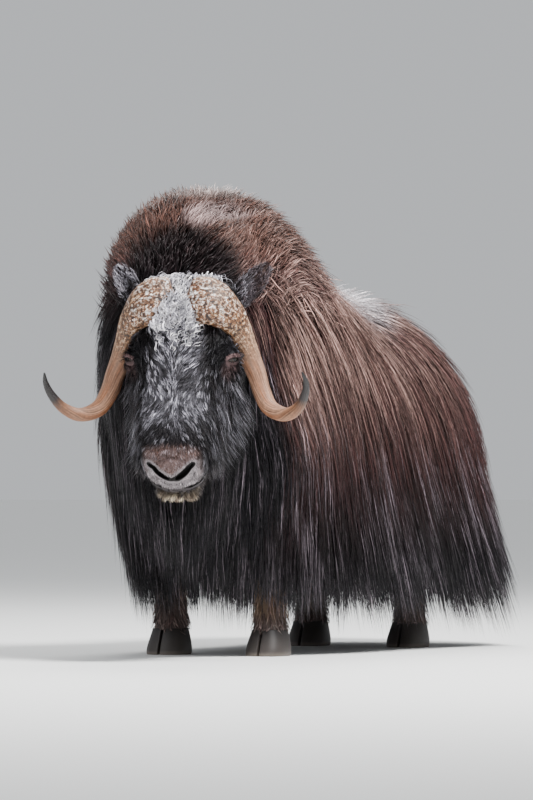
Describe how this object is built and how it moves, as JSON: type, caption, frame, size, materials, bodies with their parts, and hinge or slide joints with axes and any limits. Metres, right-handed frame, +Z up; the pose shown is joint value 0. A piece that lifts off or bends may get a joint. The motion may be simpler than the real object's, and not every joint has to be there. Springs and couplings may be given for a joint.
{
  "type": "muskox",
  "caption": "Still life-size model of a muskox bull that stands square with its horned head lowered and turned to its left.",
  "frame": {"origin": "on the floor under the middle of the whole bull's bounding box", "axes": "+Z up, the bull faces -Y, its left side is +X"},
  "size_m": [0.9726, 2.214, 1.3047],
  "materials": {
    "dark_coat": "matte",
    "brown_coat": "matte",
    "face_hair": "matte",
    "leg_hair": "matte",
    "horn": "satin",
    "hoof": "satin",
    "eye": "gloss"
  },
  "bodies": {
    "root": {"head": "face_hair", "neck": "dark_coat", "shoulder_left": "brown_coat", "shoulder_right": "brown_coat", "flank_left": "brown_coat", "flank_right": "brown_coat", "rump_left": "brown_coat", "rump_right": "brown_coat", "horn_left": "horn", "ear_left": "dark_coat", "eye_left": "eye", "leg_front_left": "leg_hair", "hoof_front_left": "hoof", "leg_hind_left": "leg_hair", "hoof_hind_left": "hoof", "horn_right": "horn", "ear_right": "dark_coat", "eye_right": "eye", "leg_front_right": "leg_hair", "hoof_front_right": "hoof", "leg_hind_right": "leg_hair", "hoof_hind_right": "hoof", "tail": "dark_coat"}
  },
  "joints": []
}
